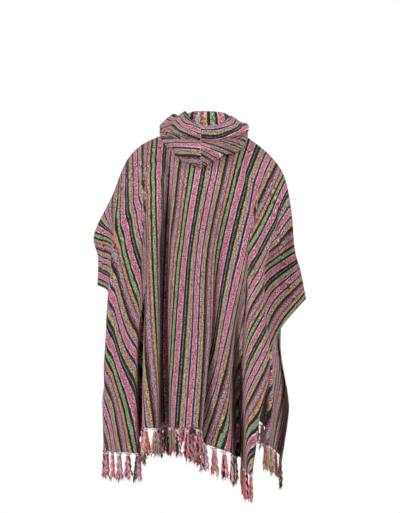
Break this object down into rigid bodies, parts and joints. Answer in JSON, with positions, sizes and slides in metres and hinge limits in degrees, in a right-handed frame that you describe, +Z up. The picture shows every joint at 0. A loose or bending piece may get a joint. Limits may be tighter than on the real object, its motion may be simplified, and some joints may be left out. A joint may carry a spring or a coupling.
{
  "type": "hooded poncho",
  "caption": "Striped woven hooded poncho in its worn shape, with folds, open sides, lowered hood and tasselled hems.",
  "frame": {"origin": "middle of the neck at shoulder level, where the wearer's shoulders carry the cloth", "axes": "+Z up, -Y the wearer's front, +X the wearer's left"},
  "size_m": [0.6496, 0.5402, 1.1706],
  "materials": {
    "cloth": "brushed cotton, warp striped in pinks, greens, ochre, navy and black",
    "yarn": "knotted yarn ends in the colours of the stripes"
  },
  "bodies": {
    "root": {"back_panel": "cloth", "front_panel": "cloth", "hood_left": "cloth", "hood_right": "cloth", "back_fringe": "yarn", "front_fringe": "yarn"}
  },
  "joints": []
}
